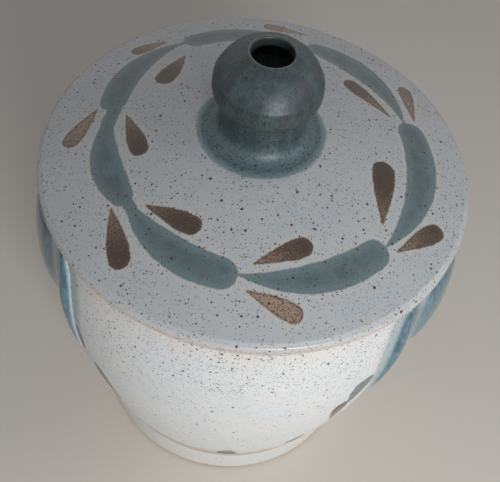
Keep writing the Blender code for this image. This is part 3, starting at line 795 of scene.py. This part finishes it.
wobble = add_node(lid_glaze, "TexNoise", place, 1.0 / 7.0, 3.0)
wobble = add_node(lid_glaze, "MapRange", wobble, 0.2, 0.8, -0.7, 0.7)
wobble = add_node(lid_glaze, "Math", out, wobble, operation="ADD")
ring_edge = (KNOB_PAINT_RADIUS + KNOB_PAINT_EDGE, KNOB_PAINT_RADIUS - KNOB_PAINT_EDGE)
ring = add_node(lid_glaze, "MapRange", wobble, *ring_edge, 0.0, 0.97, interpolation_type="SMOOTHSTEP")
near = add_node(lid_glaze, "MapRange", out, *KNOB_PAINT_FADE, 0.0, 1.0, interpolation_type="SMOOTHSTEP")
tone = add_node(lid_glaze, "Mix", near, linear("#899CA1"), linear("#6C8187"), data_type="RGBA")
tone = add_node(lid_glaze, "Mix", grainy, tone, linear("#566970"), data_type="RGBA")
painted = add_node(lid_glaze, "Mix", ring, painted, tone, data_type="RGBA")

side = add_node(lid_glaze, "MapRange", height, *EDGE_HEIGHTS, 0.0, 1.0)
rim = add_node(lid_glaze, "MapRange", out, *EDGE_REACH, 0.0, 1.0)
side = add_node(lid_glaze, "Math", side, rim, operation="MULTIPLY")
warm = add_node(lid_glaze, "Math", side, 0.75, operation="MULTIPLY")
painted = add_node(lid_glaze, "Mix", warm, painted, linear("#C6BCB5"), data_type="RGBA")
upper = add_node(lid_glaze, "Math", height, *EDGE_LINES[0], operation="COMPARE")
lower = add_node(lid_glaze, "Math", height, *EDGE_LINES[1], operation="COMPARE")
lines = add_node(lid_glaze, "Math", upper, lower, operation="MAXIMUM")
patchy = add_node(lid_glaze, "TexNoise", place, 1.0 / 14.0, 3.0)
patchy = add_node(lid_glaze, "MapRange", patchy, 0.32, 0.60, 0.05, 0.35)
lines = add_node(lid_glaze, "Math", lines, patchy, operation="MULTIPLY")
lines = add_node(lid_glaze, "Math", lines, side, operation="MULTIPLY")
painted = add_node(lid_glaze, "Mix", lines, painted, linear("#9C8676"), data_type="RGBA")
lid_colour, pits = add_iron(lid_glaze, place, painted, 1.0)
skin = add_node(lid_glaze, "TexNoise", place, 1.0 / SKIN_GRAIN, 3.0)
lid_rough = add_node(lid_glaze, "MapRange", skin, 0.2, 0.8, 0.30, 0.40)
relief = add_node(lid_glaze, "Math", green, 0.3, skin, operation="MULTIPLY_ADD")
relief = add_node(lid_glaze, "Math", pits, -0.5, relief, operation="MULTIPLY_ADD")
finish_glaze(lid_glaze, lid_colour, lid_rough, relief, GLAZE_RELIEF)
lid.data.materials.append(lid_glaze)
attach(lid, "lid")
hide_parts("lid_plate")

# Locating ring: the collar under the lid that keeps it centred in the mouth. It is left bare where it
# would touch the jar's glaze in the kiln, so the toasted stoneware body shows.

RING_OUTER = 96.1
RING_DEPTH = 14.0
RING_ROUND = 2.0
RING_SWELL = 0.15

ring_foot = RIM_HEIGHT - RING_DEPTH + RING_ROUND
ring_profile = [
    (RING_OUTER, RIM_HEIGHT),
    (RING_OUTER + RING_SWELL, RIM_HEIGHT - 4.0),
    (RING_OUTER, RIM_HEIGHT - 8.0),
]
ring_profile += arc((RING_OUTER - RING_ROUND, ring_foot), RING_ROUND, 0, -90, 6)
ring_profile += arc((RING_INNER + RING_ROUND, ring_foot), RING_ROUND, -90, -180, 6)
ring_profile += [(RING_INNER, RIM_HEIGHT - 6.0), (RING_INNER, RIM_HEIGHT)]
collar = throw("collar", ring_profile, 288, closed=True)

# Bare stoneware, turned leather-hard and fired: matt and sandy, toasted in patches, with dark grit.
CLAY_RELIEF = 0.25
bare_clay = new_material("bare_grogged_stoneware")
place = add_place(bare_clay)
grog = add_node(bare_clay, "TexNoise", place, 1.0 / 0.9, 4.0)
toast = add_node(bare_clay, "TexNoise", place, 1.0 / 14.0, 3.0)
toast = add_node(bare_clay, "MapRange", toast, 0.3, 0.7, 0.0, 1.0, interpolation_type="SMOOTHSTEP")
clay = add_node(bare_clay, "Mix", toast, linear("#B08F70"), linear("#8C6C50"), data_type="RGBA")
sand = add_node(bare_clay, "MapRange", grog, 0.35, 0.70, 0.0, 0.35)
clay = add_node(bare_clay, "Mix", sand, clay, linear("#CDB294"), data_type="RGBA")
grit, _ = add_specks(bare_clay, place, 2.2, 0.35, 0.6)
clay = add_node(bare_clay, "Mix", grit, clay, linear(IRON_TONES[2]), data_type="RGBA")
clay_rough = add_node(bare_clay, "MapRange", grog, 0.2, 0.8, 0.78, 0.92)
finish_glaze(bare_clay, clay, clay_rough, grog, CLAY_RELIEF)
collar.data.materials.append(bare_clay)
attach(collar, "lid")
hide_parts("lid_locating_ring")

# Stem: the hollow neck between the lid and the knob. It flares at its foot, where a finger smoothed
# the joint, and faint turning lines run round it under the knob.

STEM_HEIGHT = 18.2  # from the dome at the axis to the cap
CAP_SEAT = EDGE_TOP + LID_RISE + STEM_HEIGHT
STEM_TOP = CAP_SEAT - SEAT_GAP
STEM_TOP_RADIUS = 22.0
STEM_TOP_PULL = 2.6
STEM_NECK_RADIUS = 20.7
STEM_WAIST = STEM_TOP - 8.7
STEM_WAIST_PULL = 8.6
TURNING_LINE = 0.10
TURNING_PITCH = 2.1
FLARE_RADIUS = 29.0
FLARE_EDGE = 0.45  # height of the flare's edge, which is smeared out onto the lid
FLARE_PULL = (-5.6, 0.9)
SMEAR = 0.7
SMEAR_HEIGHT = 0.12

flare_top = dome(FLARE_RADIUS) + FLARE_EDGE
stem_profile = bend(
    (STEM_TOP_RADIUS, STEM_TOP),
    (STEM_NECK_RADIUS, STEM_TOP - STEM_TOP_PULL),
    (STEM_NECK_RADIUS, STEM_WAIST + STEM_TOP_PULL),
    (STEM_NECK_RADIUS, STEM_WAIST),
    24,
)
stem_profile = [(r + TURNING_LINE * math.sin(math.tau * z / TURNING_PITCH), z) for r, z in stem_profile]
stem_profile += bend(
    (STEM_NECK_RADIUS, STEM_WAIST),
    (STEM_NECK_RADIUS, STEM_WAIST - STEM_WAIST_PULL),
    (FLARE_RADIUS + FLARE_PULL[0], flare_top + FLARE_PULL[1]),
    (FLARE_RADIUS, flare_top),
    30,
)[1:]
stem_profile += [(FLARE_RADIUS + SMEAR, dome(FLARE_RADIUS + SMEAR) + SMEAR_HEIGHT)]
stem_profile += [(r, dome(r) + SEAT_GAP) for r in np.linspace(FLARE_RADIUS, BORE_RADIUS, 9)]
stem_profile += [(BORE_RADIUS, z) for z in np.linspace(dome(BORE_RADIUS) + SEAT_GAP, STEM_TOP, 8)[1:]]
stem = throw("stem", stem_profile, 224, closed=True)

KNOB_IRON = ("#232625", "#1C1E1D", "#161716")
KNOB_RUST = "#2E302C"
KNOB_RUN = (1.0, 1.0, 0.35)  # the wash has run, so its clouds are drawn out downwards
KNOB_ROUGH = (0.38, 0.52)
KNOB_RELIEF = 0.12


def add_knob_wash(material, place, pale, deep, low_tone, band, share):
    """(colour, grain) of an oxide wash that was brushed on while the piece turned, and ran. It turns
    into a share of its low tone over a band of heights, which runs from the top down."""
    upright = add_node(material, "VectorMath", place, KNOB_RUN, operation="MULTIPLY")
    cloud = add_node(material, "TexNoise", upright, 1.0 / 6.0, 4.0, 0.6)
    cloudy = add_node(
        material, "MapRange", cloud, 0.32, 0.66, 0.0, 1.0, interpolation_type="SMOOTHSTEP"
    )
    colour = add_node(material, "Mix", cloudy, linear(pale), linear(deep), data_type="RGBA")
    warm = add_node(material, "TexNoise", place, 1.0 / 15.0, 3.0)
    warmer = add_node(
        material, "MapRange", warm, 0.45, 0.75, 0.0, 0.15, interpolation_type="SMOOTHSTEP"
    )
    colour = add_node(material, "Mix", warmer, colour, linear("#393B37"), data_type="RGBA")
    height = add_node(material, "SeparateXYZ", place).node.outputs["Z"]
    low = add_node(material, "MapRange", height, *band, 0.0, share, interpolation_type="SMOOTHSTEP")
    colour = add_node(material, "Mix", low, colour, linear(low_tone), data_type="RGBA")
    grain = add_node(material, "TexNoise", upright, 1.0 / 1.1, 3.0, 0.7)
    streaks = add_node(
        material, "MapRange", grain, 0.50, 0.62, 0.0, 0.60, interpolation_type="SMOOTHSTEP"
    )
    colour = add_node(material, "Mix", streaks, colour, linear("#1F2628"), data_type="RGBA")
    colour, _ = add_iron(material, upright, colour, 1.1, KNOB_IRON, KNOB_RUST)
    return colour, grain


# Cobalt-green oxide wash under the same glaze: smoky, paler towards the flare, which is painted light
# as the neck stands in the cap's shade and the flare is lit, a little olive where it is thin, and
# peppered with fine dark streaks.
stem_glaze = new_material("run_oxide_wash_glaze")
place = add_place(stem_glaze)
# Paler towards the flare: painted light, with the neck in the cap's shade.
flare_light_band = (STEM_WAIST - 2.0, flare_top)
colour, grain = add_knob_wash(stem_glaze, place, "#415357", "#2F3C40", "#5B7177", flare_light_band, 0.80)
rough = add_node(stem_glaze, "MapRange", grain, 0.3, 0.7, *KNOB_ROUGH)
finish_glaze(stem_glaze, colour, rough, grain, KNOB_RELIEF)
stem.data.materials.append(stem_glaze)
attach(stem, "lid")
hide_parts("knob_stem")

# Knob: a hollow thrown cap whose vent lets the crock breathe. Its widest line is low, with a soft
# ridge above it. It is brushed with the same wash as the stem, and the vent's lip is worn pale.

CAP_RADIUS = 26.0
CAP_DOME = 21.8
CAP_UNDERCUT = 7.2  # from the cap's widest line down to its seat
CAP_SIDE_PULL = 4.0
CAP_SEAT_RADIUS = 23.0
CAP_SEAT_PULL = 1.0
CAP_SHELL = 5.0
CAP_FLOOR = 3.2  # thickness of the cap's inner ledge at the bore
VENT_RADIUS = 9.8
VENT_ROUND = 1.2
RIDGE_HEIGHT = 5.5  # over the widest line
RIDGE_PROUD = 0.28
RIDGE_WIDTH = 1.3

cap_wide = CAP_SEAT + CAP_UNDERCUT
lip_angle = math.acos((VENT_RADIUS + VENT_ROUND) / CAP_RADIUS)
vent_top = cap_wide + CAP_DOME * math.sin(lip_angle)


def cap_point(angle, inset):
    """A point on the cap's dome, with the angle in radians up from its widest line."""
    return ((CAP_RADIUS - inset) * math.cos(angle), cap_wide + (CAP_DOME - inset) * math.sin(angle))


inner_angle = math.acos(VENT_RADIUS / (CAP_RADIUS - CAP_SHELL))
cap_profile = arc((VENT_RADIUS + VENT_ROUND, vent_top - VENT_ROUND), VENT_ROUND, 180, 100, 6)
for r, z in [cap_point(angle, 0.0) for angle in np.linspace(lip_angle, 0.0, 60)]:
    swell = RIDGE_PROUD * math.exp(-(((z - cap_wide - RIDGE_HEIGHT) / RIDGE_WIDTH) ** 2))
    cap_profile.append((r + swell, z))
cap_profile += bend(
    (CAP_RADIUS, cap_wide),
    (CAP_RADIUS, cap_wide - CAP_SIDE_PULL),
    (CAP_SEAT_RADIUS + CAP_SEAT_PULL, CAP_SEAT + CAP_SEAT_PULL),
    (CAP_SEAT_RADIUS, CAP_SEAT),
    16,
)[1:]
cap_profile += [(BORE_RADIUS, CAP_SEAT), (BORE_RADIUS, CAP_SEAT + CAP_FLOOR)]
cap_profile += [(CAP_RADIUS - CAP_SHELL, cap_wide)]
cap_profile += [cap_point(angle, CAP_SHELL) for angle in np.linspace(0.0, inner_angle, 16)[1:]]
cap = throw("knob", cap_profile, 224, closed=True)

RIDGE_FADE = 4.0  # height over which the wash gets browner, from the ridge down
VENT_SHADE = (VENT_RADIUS + 0.7, VENT_RADIUS + 0.2)  # distances between which the lip gets dark
VENT_WORN = (VENT_RADIUS + 1.0, 0.4)  # distance from the axis and half width of the worn line
VENT_HIGH = (vent_top - 0.9, vent_top - 0.4)  # heights between which that line starts to show

# The same wash on the cap: browner below the ridge, where the brush lifted, with a pale worn line
# round the vent.
cap_glaze = new_material("brushed_oxide_wash_glaze")
place = add_place(cap_glaze)
ridge_band = (cap_wide + RIDGE_HEIGHT, cap_wide + RIDGE_HEIGHT - RIDGE_FADE)
colour, grain = add_knob_wash(cap_glaze, place, "#3F5257", "#2B373C", "#47483F", ridge_band, 0.40)
out = add_reach(cap_glaze, place)
height = add_node(cap_glaze, "SeparateXYZ", place).node.outputs["Z"]
shade = add_node(cap_glaze, "MapRange", out, *VENT_SHADE, 0.0, 0.8)
colour = add_node(cap_glaze, "Mix", shade, colour, linear("#23292B"), data_type="RGBA")
high = add_node(cap_glaze, "MapRange", height, *VENT_HIGH, 0.0, 1.0)
worn = add_node(cap_glaze, "Math", out, *VENT_WORN, operation="COMPARE")
worn = add_node(cap_glaze, "Math", worn, high, operation="MULTIPLY")
worn = add_node(cap_glaze, "Math", worn, 0.3, operation="MULTIPLY")
colour = add_node(cap_glaze, "Mix", worn, colour, linear("#8C9490"), data_type="RGBA")
rough = add_node(cap_glaze, "MapRange", grain, 0.3, 0.7, *KNOB_ROUGH)
finish_glaze(cap_glaze, colour, rough, grain, KNOB_RELIEF)
cap.data.materials.append(cap_glaze)
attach(cap, "lid")
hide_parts("knob_cap")
